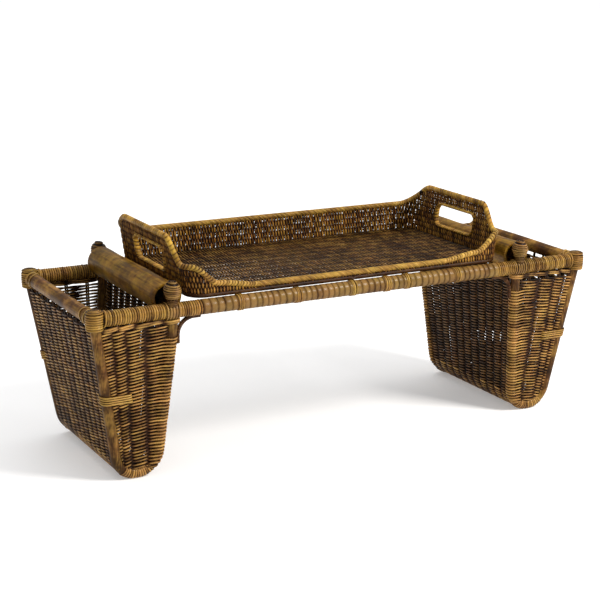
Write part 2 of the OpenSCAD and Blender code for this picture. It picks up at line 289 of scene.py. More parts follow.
def new_node(tree, kind, inputs, **settings):
    """A shader node with its inputs plugged and its settings made."""
    node = tree.nodes.new(kind)
    for key, value in settings.items():
        setattr(node, key, value)
    for key, value in inputs.items():
        plug(tree, node.inputs[key], value)
    return node


def scaled(tree, vector, factors):
    return new_node(tree, "ShaderNodeVectorMath", {0: vector, 1: factors}, operation="MULTIPLY").outputs[0]


def blend(tree, share, one, other):
    return new_node(tree, "ShaderNodeMix", {0: share, 6: one, 7: other}, data_type="RGBA").outputs[2]


def ramp(tree, value, low, high, **settings):
    inputs = {"Value": value, "From Min": low, "From Max": high}
    return new_node(tree, "ShaderNodeMapRange", inputs, **settings)


FIBRE_SCALE = (70, 1900, 90)  # along a strand, across it, and from strand to strand
DRIFT_SCALE = (38, 0, 90)
NOISE_MIDDLE = 0.5


def cane_surface():
    """Varnished cane: colour with painted highlights on crests and painted shade in the gaps, fibre along the
    strand, blotches over the piece.
    """
    g = bpy.data.node_groups.new("cane_surface", "ShaderNodeTree")
    for kind, name, value in (("Float", "Tone", 0.5), ("Float", "Crest", 0.8), ("Vector", "Lay", None),
                              ("Vector", "Place", None), ("Color", "Deep", (0.01, 0.005, 0.004, 1)),
                              ("Color", "Mid", (0.16, 0.07, 0.02, 1)), ("Color", "Light", (0.5, 0.3, 0.1, 1)),
                              ("Float", "Fibre", 0.25), ("Float", "Blotch", 0.6)):
        socket = g.interface.new_socket(name=name, in_out="INPUT", socket_type="NodeSocket" + kind)
        if value is not None:
            socket.default_value = value
    for kind, name in (("Color", "Color"), ("Float", "Roughness"), ("Float", "Gloss"), ("Float", "Height")):
        g.interface.new_socket(name=name, in_out="OUTPUT", socket_type="NodeSocket" + kind)
    given, out = g.nodes.new("NodeGroupInput").outputs, g.nodes.new("NodeGroupOutput")

    def maths(op, *values, clamp=False):
        return new_node(g, "ShaderNodeMath", dict(enumerate(values)), operation=op, use_clamp=clamp).outputs[0]

    def noise(vector, scale, detail, rough=0.55):
        inputs = {"Vector": vector, "Scale": scale, "Detail": detail, "Roughness": rough}
        return new_node(g, "ShaderNodeTexNoise", inputs).outputs["Fac"]

    def swayed(value, by, share):
        """A value moved up and down by a noise, as far as share."""
        return maths("ADD", value, maths("MULTIPLY", maths("SUBTRACT", by, NOISE_MIDDLE), share))

    fibre = noise(scaled(g, given["Lay"], FIBRE_SCALE), 1.0, 2.0)
    strand_shift = noise(scaled(g, given["Lay"], DRIFT_SCALE), 1.0, 1.0)
    mottle = noise(given["Place"], 26.0, 3.0, 0.6)
    stain = noise(given["Place"], 150.0, 2.0, 0.6)
    tone = maths("MULTIPLY_ADD", given["Tone"], 0.24, -0.12)
    # crest adds painted light and shade to the strand's tone; the fibre, blotches, stains and strand shifts
    # below are the cane's own colour
    shade = maths("MULTIPLY_ADD", given["Crest"], 0.80, tone)
    shade = swayed(shade, fibre, given["Fibre"])
    shade = swayed(shade, mottle, given["Blotch"])
    shade = maths("ADD", shade, maths("MULTIPLY_ADD", stain, 0.26, -0.13))
    shade = maths("ADD", shade, maths("MULTIPLY_ADD", strand_shift, 0.34, -0.17), clamp=True)
    # where crest is low, shade reaches Deep: painted shade in the gaps and on strands' inner sides; where it is
    # high it reaches Light: a painted highlight
    low = ramp(g, shade, 0.16, 0.66, interpolation_type="SMOOTHSTEP").outputs["Result"]
    high = ramp(g, shade, 0.55, 1.0).outputs["Result"]
    colour = blend(g, high, blend(g, low, given["Deep"], given["Mid"]), given["Light"])
    # some stretches of cane are redder, some greener
    hue = maths("MULTIPLY_ADD", noise(given["Place"], 47.0, 2.0), 0.045, 0.4775)
    rough = maths("MULTIPLY_ADD", fibre, 0.16, 0.34)
    for name, value in (
            ("Color", new_node(g, "ShaderNodeHueSaturation", {"Hue": hue, "Color": colour}).outputs["Color"]),
            ("Gloss", maths("MULTIPLY", high, 0.2, clamp=True)),
            ("Roughness", maths("ADD", rough, maths("MULTIPLY", mottle, 0.10), clamp=True)),
            ("Height", maths("ADD", maths("MULTIPLY", fibre, 0.6), maths("MULTIPLY", stain, 0.4)))):
        plug(g, out.inputs[name], value)
    return g


CANE = cane_surface()
BUMP_DEPTH = 0.4 * MM


def cane_material(name, deep, mid, light, fibre=0.25, blotch=0.6, strands=True, crest=0.8, bump=0.35,
                  grain=(900, 900, 60)):
    """A material with its own dark, middle and light colours.

    Swept strands carry their own tone and lay, and a crest with painted light and shade round each strand.
    Other pieces have one crest, and a grain for each axis.
    """
    m = bpy.data.materials.new(name)
    m.use_nodes = True
    tree = m.node_tree
    shader = tree.nodes["Principled BSDF"].inputs
    place = tree.nodes.new("ShaderNodeTexCoord").outputs["Object"]
    inputs = {"Place": place, "Deep": (*deep, 1), "Mid": (*mid, 1), "Light": (*light, 1), "Fibre": fibre,
              "Blotch": blotch}
    if strands:
        for key, socket in (("tone", "Fac"), ("crest", "Fac"), ("lay", "Vector")):
            inputs[key.title()] = new_node(tree, "ShaderNodeAttribute", {}, attribute_name=key).outputs[socket]
    else:
        inputs["Crest"] = crest
        inputs["Lay"] = scaled(tree, place, tuple(v / w for v, w in zip(grain, FIBRE_SCALE)))
    group = tree.nodes.new("ShaderNodeGroup")
    group.node_tree = CANE
    for key, value in inputs.items():
        plug(tree, group.inputs[key], value)
    relief = {"Height": group.outputs["Height"], "Strength": bump, "Distance": BUMP_DEPTH}
    for key, value in (("Base Color", group.outputs["Color"]), ("Roughness", group.outputs["Roughness"]),
                       ("Normal", new_node(tree, "ShaderNodeBump", relief).outputs["Normal"]),
                       ("Coat Weight", group.outputs["Gloss"]), ("Coat Roughness", 0.25),
                       ("Specular IOR Level", 0.12), ("IOR", 1.5)):
        plug(tree, shader[key], value)
    return m


# the near-black that the painted shade in gaps and on strands' inner sides reaches
DEEP_SHADE = (0.003, 0.001118, 0.000665)
basket_cane = cane_material("basket_cane", DEEP_SHADE, (0.053, 0.0188, 0.0034), (0.57, 0.310, 0.079))
# a darker copy of basket_cane for the baskets' inner walls: painted shade
inner_cane = cane_material("inner_cane", DEEP_SHADE, (0.03, 0.011, 0.0022), (0.25, 0.12, 0.03))
tray_cane = cane_material("tray_cane", DEEP_SHADE, (0.062, 0.021, 0.0032), (0.44, 0.215, 0.034))
floor_cane = cane_material("floor_cane", DEEP_SHADE, (0.046, 0.018, 0.0036), (0.38, 0.205, 0.052))
hoop_cane = cane_material("hoop_cane", DEEP_SHADE, (0.05, 0.01806, 0.0038), (0.26, 0.1204, 0.0247))
rope_cane = cane_material("rope_cane", DEEP_SHADE, (0.078, 0.031, 0.0045), (0.52, 0.3, 0.056))
handle_wrap = cane_material("handle_wrap", DEEP_SHADE, (0.11, 0.046, 0.0055), (0.54, 0.3, 0.042), blotch=0.9)
ring_cane = cane_material("ring_cane", DEEP_SHADE, (0.07, 0.029, 0.0046), (0.42, 0.23, 0.046))
flat_cane = cane_material("flat_cane", (0.0066, 0.002838, 0.000627), (0.058, 0.024, 0.0045),
                          (0.22, 0.122, 0.03), blotch=0.9)
band_cane = cane_material("band_cane", DEEP_SHADE, (0.078, 0.033, 0.0055), (0.42, 0.24, 0.05))
knob_cane = cane_material("knob_cane", DEEP_SHADE, (0.06, 0.02494, 0.0057), (0.34, 0.1892, 0.0494))
brace_cane = cane_material("brace_skin", DEEP_SHADE, (0.025, 0.0086, 0.00285), (0.15, 0.0645, 0.0171))
pole_skin = cane_material("pole_skin", (0.008, 0.00258, 0.00095), (0.064, 0.026, 0.0042), (0.35, 0.18, 0.034),
                          strands=False, crest=0.72, fibre=0.5, blotch=1.1, bump=0.5, grain=(700, 700, 45))
core_skin = cane_material("core_skin", (0.003, 0.00129, 0.00095), (0.02, 0.00688, 0.00285),
                          (0.09, 0.03182, 0.01045), strands=False, crest=0.5, fibre=0.4, grain=(45, 700, 700))
rail_skin = cane_material("rail_skin", (0.0119, 0.003655, 0.001211), (0.1, 0.04, 0.0045), (0.42, 0.215, 0.032),
                          strands=False, crest=0.78, fibre=0.4, blotch=1.2, bump=0.45, grain=(600, 40, 600))
fence_skin = cane_material("fence_shell", (0.01215, 0.0054, 0.000945), (0.105, 0.047, 0.0035),
                           (0.46, 0.245, 0.019), strands=False, crest=0.80, fibre=0.35, blotch=0.85, bump=0.5,
                           grain=(420, 30, 420))

# ---------------- baskets

SIDES_OF = (("right", 1), ("left", -1))
ENDS_OF = (("front", 1), ("rear", -1))
SIN_T, COS_T = math.sin(TILT), math.cos(TILT)
SIN_O, COS_O = math.sin(OUTER_LEAN), math.cos(OUTER_LEAN)
SIN_I, COS_I = math.sin(INNER_LEAN), math.cos(INNER_LEAN)


def plane(x, v, n, sx, sy, place=1):
    """A place on the leaning front or rear frame: x along, v up the slope, n outward. A way, if place is 0."""
    x, v, n = np.broadcast_arrays(x, v, n)
    y = place * FOOT_Y + v * SIN_T + n * COS_T
    return np.stack([sx * x, -sy * y, place * FZ + v * COS_T - n * SIN_T], -1)


def plane_way(x, v, n, sx, sy):
    return plane(x, v, n, sx, sy, place=0)


def outer_x(v):
    """Axis of the outer leg at a height up the slope."""
    return BX + BEND_R * COS_O + (v - BEND_R + BEND_R * SIN_O) * SIN_O / COS_O


def inner_x(v):
    return BX - BEND_R * COS_I - (v - BEND_R + BEND_R * SIN_I) * SIN_I / COS_I


def chord(v):
    """Inner and outer pole axis at a height up the slope."""
    if v < BEND_R:
        c = math.sqrt(max(BEND_R ** 2 - (v - BEND_R) ** 2, 0))
        low_o = BX + c if v < BEND_R * (1 - SIN_O) else outer_x(v)
        low_i = BX - c if v < BEND_R * (1 - SIN_I) else inner_x(v)
        return low_i, low_o
    return inner_x(v), outer_x(v)


def seams(v):
    """Where pairs of strands cross, at a height up the slope, from the inner pole to the outer one."""
    w = v - 53 * MM
    xi, xo = chord(v)
    third = BX - 13.0 * MM + 0.049 * w
    second = BX + 11.4 * MM + 0.066 * w
    first = BX + 24.0 * MM + 0.104 * w
    return np.array([xi, third, second, first, xo])


SEAM_MARKS = np.array([0.72, 1.5, 2.5, 3.5, 4.35])
LIFT = 1.0 * MM  # how far a strand rises and falls where a pair crosses
SWING = 1.75 * MM  # how far it goes out and in
STAKE_GAP, STAKE_R = 1.5 * MM, 1.35 * MM


def swing(ph):
    """Side-to-side path of a strand: long floats, quick crossings."""
    return np.tanh(1.7 * np.cos(ph)) / math.tanh(1.7)


def front_panel(name, sx, sy):
    """A leaning front or rear wall: pairs of strands between the legs, two waling rows at the top, stakes."""
    b = Bundle(8)
    top = V_TOP - 15.0 * MM
    rows = []
    v = 4.6 * MM
    while v < top - 4.6 * MM:
        rows.append((v, 0))
        v += about(PITCH, 0.03)
    rows += [(top + k * WALING_PITCH, 1) for k in range(2)]
    for row, (v, waling) in enumerate(rows):
        marks = seams(v)
        xi, xo = marks[0], marks[-1]
        if xo - xi < 14 * MM:
            continue
        wrap = (waling or v < top - 22 * MM) and v > 8 * MM  # one of the pair goes round the inner leg
        marks[1:4] += wobble(3, 0.5 * MM)
        run = np.linspace(xi, xo - POLE_R * 0.5, max(12, int((xo - xi) / (2.6 * MM))))
        ok = (marks > xi - 1e-9) & (marks < xo + 1e-9)
        u = np.interp(run, marks[ok], SEAM_MARKS[ok])
        droop = wobble(len(run), 0.22 * MM) + 0.8 * MM * np.sin((run - xi) / (40 * MM) + row * 0.05)
        for s in (0, 1):
            r = about((1.45 if waling else 1.16) * MM, 0.06)
            ph = math.pi * (u + s + (0.5 if waling else 0))
            edge = smooth((run - xi) / (7 * MM)) * smooth((xo - 1 * MM - run) / (6 * MM))
            lead = wrap and s == 1
            wide = np.full(len(run), 1.14 * r)
            n = SHEET + SWING * swing(ph) * edge
            near = 1 - smooth((run - xi - 2 * MM) / (12 * MM))
            hug = POLE_R + r * 0.8 if lead else SHEET - 1.5 * MM
            n = n * (1 - near) + hug * near
            vv = v + droop - LIFT * np.sin(ph) * edge
            # rise sets the painted light: lighter where a strand floats outward, darker where it passes behind;
            # by the inner leg, lighter on the strand that goes round it, darker on the other
            rise = swing(ph) * edge * (1 - near) + near * (1.0 if lead else -0.5)
            pts = plane(run, vv, n, sx, sy)
            way = plane_way(0 * run, 0 * run, 0 * run + 1, sx, sy)
            if lead:
                a = np.radians(np.arange(100, 221, 20))
                dip = np.linspace(0, -0.6 * MM, len(a)) + rng.normal(0, 0.12) * MM
                round_leg = plane(xi + hug * np.cos(a), vv[0] + dip, hug * np.sin(a), sx, sy)[::-1]
                pts = np.concatenate([round_leg, pts])
                way = np.concatenate([plane_way(np.cos(a), 0.0, np.sin(a), sx, sy)[::-1], way])
                rise = np.concatenate([np.ones(len(a)), rise])
                wide = np.concatenate([np.linspace(2.0, 1.7, len(a)) * MM, wide])
            b.add(pts, way, r, wide=wide, tone=draw(0.3, 0.5), rise=rise)
    # upright stakes, in twos
    for k in range(4):
        keep = []
        for v in np.linspace(3 * MM, V_TOP - 9.5 * MM, 44):
            marks = seams(v)
            x = (marks[k] + marks[k + 1]) / 2 + (2 * MM if k == 0 else 0)
            if marks[0] + 6 * MM < x < marks[-1] - 6 * MM:
                keep.append((x, v))
        if len(keep) > 3:
            kx, kv = np.array(keep).T
            for side in (-1, 1):
                b.add(plane(kx + side * STAKE_GAP, kv, SHEET, sx, sy), plane_way(0 * kx, 0.0, 1.0, sx, sy),
                      STAKE_R, tone=0.25, rise=0.2)
    # cane turns at the foot of the frame
    for k in range(-6, 7):
        a = math.radians(-90 + k * 6.4)
        cx, cv = BX + BEND_R * math.cos(a), BEND_R + BEND_R * math.sin(a)
        th = np.linspace(0, 2 * math.pi, 15)[:-1]
        rho = POLE_R + 0.35 * MM
        across, up = np.cos(th) * math.cos(a), np.cos(th) * math.sin(a)
        ring = plane(cx + rho * across, cv + rho * up, rho * np.sin(th), sx, sy)
        way = plane_way(across, up, np.sin(th), sx, sy)
        ring[:, 2] = np.maximum(ring[:, 2], 0.65 * MM)
        b.add(ring, way, 0.6 * MM, wide=1.65 * MM, closed=True, rise=1.0)
    finish_piece(b.build(name + "_weave"), basket_cane, "stand", [name + "_wall"])


def u_profile(part):
    """Places down the U, outside the pole axes: x, v, and the outward way."""
    if part != "bottom":
        way, lean, level, leg_x = (1, SIN_O, COS_O, outer_x) if part == "outer" else (-1, SIN_I, COS_I, inner_x)
        start = BEND_R * (1 - lean)
        n = int((SIDE_TOP - start) / level / PITCH)
        v = start + np.arange(n) * PITCH * level
        rows = leg_x(v) + way * SHEET * level, v - SHEET * lean, np.full(n, way * level), np.full(n, -lean)
        return np.stack(rows, -1)
    a0, a1 = -OUTER_LEAN, -math.pi + INNER_LEAN
    rho = BEND_R + SHEET
    n = int(rho * (a0 - a1) / PITCH)
    a = np.linspace(a0, a1, n + 2)[1:-1]
    return np.stack([BX + rho * np.cos(a), BEND_R + rho * np.sin(a), np.cos(a), np.sin(a)], -1)


STAKES_Y = 11
SIDE_R = 1.2 * MM
SIDE_WIDE = {"outer": 1.4 * MM, "inner": 1.5 * MM, "bottom": 1.95 * MM}


def depth_at(z):
    """Half the clear depth between the front and rear frames at a height."""
    return FOOT_Y + (z - FZ) * SIN_T / COS_T - 2.5 * MM


def side_wall(name, part, sx):
    """Outer, inner or bottom wall: pairs of strands from the front frame to the rear frame."""
    b = Bundle(8)
    prof = u_profile(part)
    phase = rng.random() * 0.1
    climb = {"outer": 1, "inner": -1, "bottom": 0}[part]
    for x, v, nx, nv in prof:
        z = FZ + v * COS_T
        half = depth_at(z)
        y = np.linspace(-half, half, STAKES_Y * 7 + 1)
        u = (y / half + 1) / 2 * STAKES_Y
        droop = wobble(len(y), 0.25 * MM)
        edge = smooth((half - np.abs(y)) / (8 * MM))
        for s in (0, 1):
            ph = math.pi * (u + s + phase + 0.5)
            off = SWING * swing(ph) * edge
            lift = climb * (-LIFT * np.sin(ph) * edge + droop)
            pts = np.stack([sx * (x + nx * off - nv * lift), y, z + nv * off * COS_T + nx * lift], -1)
            b.add(pts, (sx * nx, 0, nv), SIDE_R, wide=about(SIDE_WIDE[part], 0.05), tone=draw(0.2, 0.6),
                  rise=swing(ph) * edge)
    path = np.concatenate([prof[:1], prof, prof[-1:]])[::3]
    if part != "bottom":
        lean = SIN_O if part == "outer" else -SIN_I
        path = np.concatenate([path, [prof[-1] + np.array([9.0 * MM * lean, 9.0 * MM, 0, 0])]])
    zz = FZ + path[:, 1] * COS_T
    way = np.stack([sx * path[:, 2], 0 * zz, path[:, 3]], -1)
    for k in range(STAKES_Y):
        yk = depth_at(zz) * (2 * (k + 0.5 - phase) / STAKES_Y - 1)
        for side in (-1, 1):
            pts = np.stack([sx * path[:, 0], yk + side * STAKE_GAP, zz], -1)
            b.add(pts, way, STAKE_R, tone=0.25, rise=0.2)
    # the inner walls take the darker copy of the basket cane: painted shade
    finish_piece(b.build(name + "_weave"), inner_cane if part == "inner" else basket_cane, "stand",
                 [name + "_wall"])


def leg_band(side, sx):
    """Four turns of cane round the outer leg and the first stakes beside it."""
    b = Bundle(8)
    reach = 30 * MM
    rho, rin = POLE_R + 1.2 * MM, 3.6 * MM
    for sy in (1, -1):
        for k in range(4):
            v = (LEG_BAND_AT + LEG_BAND_PITCH * (k - 1.5)) * MM
            xo = outer_x(v)
            xi = xo - reach
            a_out = np.radians(np.linspace(90, -90, 10))
            outer = np.stack([xo + rho * np.cos(a_out), rho * np.sin(a_out)], -1)
            a_in = np.radians(np.linspace(270, 90, 7))
            inner = np.stack([xi + rin * np.cos(a_in), SHEET + rin * np.sin(a_in)], -1)
            lower = np.linspace([xo, -rho], [xi, SHEET - rin], 9)[1:-1]
            upper = np.linspace([xi, 0.0], [xo, 1.0], 9)[1:-1]
            upper[:, 1] = SHEET + rin + (rho - SHEET - rin) * smooth(upper[:, 1])
            loop = np.concatenate([outer, lower, inner, upper])
            tang = np.roll(loop, -1, 0) - np.roll(loop, 1, 0)
            way = np.stack([tang[:, 1], -tang[:, 0]], -1)
            flip = np.sign((way * (loop - loop.mean(0))).sum(1))[:, None]
            way = way * np.where(flip == 0, 1, flip)
            jig = wobble(len(loop), 0.15 * MM)
            tilt_v = 0.8 * MM * (loop[:, 0] - xo) / reach * rng.normal(0.4, 0.3)
            b.add(plane(loop[:, 0], v + jig + tilt_v, loop[:, 1], sx, sy),
                  plane_way(way[:, 0], 0.0, way[:, 1], sx, sy), 1.35 * MM, closed=True,
                  tone=draw(0.5, 0.5), rise=1.15)
    finish_piece(b.build(side + "_leg_bands_cane"), band_cane, "stand", [side + "_leg_bands"])


for side, sx in SIDES_OF:
    for end, sy in ENDS_OF:
        front_panel(f"{side}_{end}", sx, sy)
    side_wall(side + "_outer", "outer", sx)
    side_wall(side + "_inner", "inner", sx)
    side_wall(side + "_bottom", "bottom", sx)
    leg_band(side, sx)
    for end, sy in ENDS_OF:
        skin(frame["nodes"][f"{side}_{end}_leg"], pole_skin)

# ---------------- rails


def turn(b, centre, ways, radius, r, wide=None, lean=0.0, lean_at=0.0, tone=None, count=22, rise=1.0,
         jitter=0.0):
    """One turn of cane round a pole. ways are the pole's own way and the two across it."""
    th = np.arange(count) * 2 * math.pi / count
    axis, one, two = (np.array(way, float) for way in ways)
    way = np.cos(th)[:, None] * one + np.sin(th)[:, None] * two
    along = lean * np.cos(th - lean_at)
    rad = np.broadcast_to(radius + (wobble(count, jitter) if jitter else 0), (count,))
    places = np.array(centre) + way * rad[:, None] + along[:, None] * axis
    b.add(places, way, r, wide=wide, closed=True, tone=tone, rise=rise)


# places of the bands on the flat cane, as shares of half its length
BAND_AT = np.array([-0.755, -0.386, -0.019, 0.214, 0.357, 0.709])
# a pole's own way, then the two across it
LYING_X = ((1, 0, 0), (0, 1, 0), (0, 0, 1))
LYING_Y = ((0, 1, 0), (1, 0, 0), (0, 0, 1))
UPRIGHT = ((0, 0, 1), (1, 0, 0), (0, 1, 0))


def long_rail(end, sy):
    """Front or rear rail: round cane over the baskets, flat cane between them, bands of three turns."""
    yc = -sy * RY
    skin(frame["nodes"][end + "_rail"], core_skin)
    # fine round cane over the baskets
    b = Bundle(6)
    for sx in (-1, 1):
        x = FLAT_HALF + 1.1 * MM
        lean_at = draw(0, ANY_SIDE)
        while x < RX - CAP_R + 1.5 * MM:
            lean_at += rng.normal(0, 0.25)
            r = about(1.2 * MM, 0.05)
            turn(b, (sx * x, yc, RH), LYING_X, RAIL_R - r + rng.normal(0, 0.14) * MM, r,
                 wide=about(1.72 * MM, 0.05), lean=0.5 * MM, lean_at=lean_at, tone=rng.random())
            x += ROUND_PITCH
        # bright loop against the cap
        turn(b, (sx * (RX - CAP_R - 0.4 * MM), yc, RH), LYING_X, RAIL_R - 0.3 * MM, 1.5 * MM,
             lean=1.2 * MM, lean_at=1.2, tone=1.0)
    finish_piece(b.build(end + "_rail_cane"), ring_cane, "stand", [end + "_rail_cane_wrap"])
    # flat cane in the middle
    b = Bundle(8)
    x = -FLAT_HALF + 1.6 * MM
    lean_at = draw(0, ANY_SIDE)
    while x < FLAT_HALF:
        wide = rng.uniform(3.8, 5.4) * MM
        lean_at += rng.normal(0, 0.1)
        x += wide
        turn(b, (x, yc, RH), LYING_X, FLAT_R - 0.1 * MM + rng.normal(0, 0.04) * MM, 0.55 * MM,
             wide=wide * 1.14, lean=0.5 * MM, lean_at=lean_at, tone=draw(0.35, 0.5), count=24, rise=1.3)
        x += wide * 0.99
    finish_piece(b.build(end + "_rail_flat_cane"), flat_cane, "stand", [end + "_rail_flat_wrap"])
    b = Bundle(8)
    for share in BAND_AT:
        for k in (-1, 0, 1):
            turn(b, (share * FLAT_HALF + k * BAND_PITCH, yc, RH), LYING_X, BAND_R - 1.2 * MM, 1.2 * MM,
                 wide=1.5 * MM, lean=0.5 * MM, lean_at=draw(0, ANY_SIDE), tone=draw(0.25, 0.75), count=24,
                 rise=1.05, jitter=0.05 * MM)
    finish_piece(b.build(end + "_rail_band_turns"), band_cane, "stand", [end + "_rail_bands"])


for end, sy in ENDS_OF:
    long_rail(end, sy)


def ringed(b, centre, radii, heights, r, lean=0.0, count=22):
    """Rings of cane one above the other: radii and heights of the ring centres."""
    for rad, h in zip(radii, heights):
        turn(b, (*centre, h), UPRIGHT, rad, r, lean=lean, lean_at=draw(0, ANY_SIDE), tone=draw(0.2, 0.8),
             count=count)


SMOOTH_ANGLE = math.radians(40)


def new_cylinder(name, sides, radius, length, fill, cuts, axis):
    """A cylinder at the origin along Y or Z, cut across at each of cuts so that it can be shaped."""
    bpy.ops.object.select_all(action="DESELECT")
    bpy.ops.mesh.primitive_cylinder_add(vertices=sides, radius=radius, depth=length, end_fill_type=fill,
                                        location=(0, 0, 0), rotation=(math.pi / 2 if axis == 1 else 0, 0, 0))
    obj = bpy.context.object
    obj.name = obj.data.name = name
    bpy.ops.object.transform_apply(location=True, rotation=True, scale=True)
    bpy.ops.object.mode_set(mode="EDIT")
    way = np.eye(3)[axis]
    for c in cuts:
        bpy.ops.mesh.select_all(action="SELECT")
        bpy.ops.mesh.bisect(plane_co=way * float(c), plane_no=way)
    bpy.ops.mesh.select_all(action="SELECT")
    return obj


def turned_core(name, centre, profile):
    """A closed turned form about Z, shaped ring by ring from pairs of radius and height."""
    rads, heights = np.array(profile).T
    marks = np.linspace(-0.5, 0.5, len(profile))
    obj = new_cylinder(name, 28, 1.0, 1.0, "NGON", [0, *marks[1:-1]], 2)
    bpy.ops.mesh.remove_doubles(threshold=0.0001)
    bpy.ops.object.mode_set(mode="OBJECT")
    for v in obj.data.vertices:
        rad = float(np.interp(v.co.z, marks, rads)) / math.hypot(v.co.x, v.co.y)
        z = float(np.interp(v.co.z, marks, heights))
        v.co = (centre[0] + v.co.x * rad, centre[1] + v.co.y * rad, z)
    bpy.ops.object.shade_smooth_by_angle(angle=SMOOTH_ANGLE)
    finish_piece(obj, core_skin, "stand", [])


def lying_cylinder(name, sides, radius, length, fill, marks):
    obj = new_cylinder(name, sides, radius, length, fill, np.linspace(-length / 2, length / 2, marks)[1:-1], 1)
    bpy.ops.mesh.normals_make_consistent(inside=False)
    bpy.ops.object.mode_set(mode="OBJECT")
    return obj


def corner_cap(side, sx, end, sy):
    """Rings of round cane over the corner, closed at the top by smaller rings and a button."""
    name = f"{side}_{end}_cap"
    b = Bundle(8)
    c = (sx * RX, -sy * RY)
    r = 1.65 * MM
    rings = np.arange(CAP_LOW + 1.6 * MM, CAP_HIGH - 4.6 * MM, CAP_PITCH)
    bulge = CAP_R - r - 0.9 * MM * ((rings - (CAP_LOW + CAP_HIGH) / 2) / ((CAP_HIGH - CAP_LOW) / 2)) ** 2
    ringed(b, c, bulge, rings, r, lean=0.15 * MM)
    inset, drop = np.array([(2.4, 3.1), (4.7, 1.9), (7.2, 1.35), (9.8, 1.2)]).T * MM
    ringed(b, c, CAP_R - inset, CAP_HIGH - drop, r * 0.95, count=20)
    button = [(*c, CAP_HIGH - below * MM) for below in (3.5, 0.9, 0.3)]
    b.add(button, (1, 0, 0), np.array([1.6, 1.6, 1.0]) * MM, tone=0.6)
    finish_piece(b.build(name + "_rings"), ring_cane, "stand", [name])
    turned_core(name + "_core", c, [
        (CAP_R - 3.4 * MM, CAP_LOW + 0.6 * MM), (CAP_R - 2.7 * MM, CAP_LOW + 3 * MM),
        (CAP_R - 2.5 * MM, CAP_HIGH - 8 * MM), (CAP_R - 3.2 * MM, CAP_HIGH - 4 * MM),
        (CAP_R - 6 * MM, CAP_HIGH - 2.4 * MM)])


def ball_radius(heights, centre_z, least):
    """Radius of the knob's ball at some heights, never under a share of its full radius."""
    return np.sqrt(np.maximum(KNOB_R ** 2 - (heights - centre_z) ** 2, (least * KNOB_R) ** 2))


def knob(side, sx, end, sy):
    """Ball of cane rings on the post: four rings below, three leaning ones above, two to close it."""
    name = f"{side}_{end}_knob"
    x, y = sx * KNOB[0], sy * KNOB[1]
    low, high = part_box("right_front_knob")[0][2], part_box("right_front_knob")[1][2]
    centre_z = high - KNOB_R
    b = Bundle(8)
    r = 1.45 * MM
    hs = low + r + np.arange(4) * 2.75 * MM
    rad = np.clip(ball_radius(hs, centre_z, 0.55) - r, KNOB_R * 0.66, None)
    ringed(b, (x, y), rad, hs, r, lean=0.2 * MM)
    hs = hs[-1] + 3.4 * MM + np.arange(3) * 2.6 * MM
    for h, q in zip(hs, ball_radius(hs, centre_z, 0.25) - r):
        turn(b, (x, y, h - 0.3 * MM), UPRIGHT, q, r * 0.95, lean=0.9 * MM, lean_at=2.2, tone=draw(0.2, 0.8),
             count=20)
    for q in (0.42, 0.12):
        turn(b, (x, y, high - 1.5 * MM), UPRIGHT, KNOB_R * q, r * 0.95, lean=0.5 * MM, lean_at=2.2,
             tone=rng.random(), count=14)
    finish_piece(b.build(name + "_rings"), knob_cane, "stand", [name])
    turned_core(name + "_core", (x, y), [
        (KNOB_R * 0.62, low + 0.5 * MM), (KNOB_R - 2.6 * MM, centre_z - 2 * MM),
        (KNOB_R - 1.9 * MM, centre_z + 1 * MM), (KNOB_R - 3.4 * MM, centre_z + 5 * MM),
        (KNOB_R * 0.4, high - 2.4 * MM)])


def post(side, sx, end, sy):
    """Flat strips tied over the rail, on a short stub that carries the knob."""
    name = f"{side}_{end}_post"
    px, py = sx * POST[0], sy * POST[1]
    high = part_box("right_front_post")[1][2]
    b = Bundle(8)
    a = np.radians(np.linspace(-68, 60, 12))
    rho = RAIL_R + 0.9 * MM
    for k in (-1, 0, 1):
        x = px + k * 4.1 * MM
        arc = np.stack([0 * a + x, -sy * (RY + rho * np.cos(a)), RH + rho * np.sin(a)], -1)
        stub = (x, py - sy * (POST_R - 1.2 * MM) * math.cos(k * 0.5), high - 0.2 * MM)
        way = np.stack([0 * a, -sy * np.cos(a), np.sin(a)], -1)
        b.add(np.concatenate([arc, [stub]]), np.concatenate([way, [(0, -sy, 0)]]), 0.75 * MM, wide=2.0 * MM,
              tone=draw(0.35, 0.3), rise=0.85)
    for k, h in enumerate(np.arange(RH + RAIL_R - 2.0 * MM, high, 2.3 * MM)):
        turn(b, (px, py, h), UPRIGHT, POST_R - 1.1 * MM, 1.1 * MM, lean=0.2 * MM, lean_at=k, tone=draw(0, 0.3),
             count=18, rise=0.7)
    # loops that hold the post to the rail on both sides
    for k in (-1, 1):
        turn(b, (px + k * 8.3 * MM, -sy * RY, RH), LYING_X, RAIL_R + 0.5 * MM, 1.25 * MM, lean=0.4 * MM,
             lean_at=k, tone=0.75)
    finish_piece(b.build(name + "_strips"), knob_cane, "stand", [name])


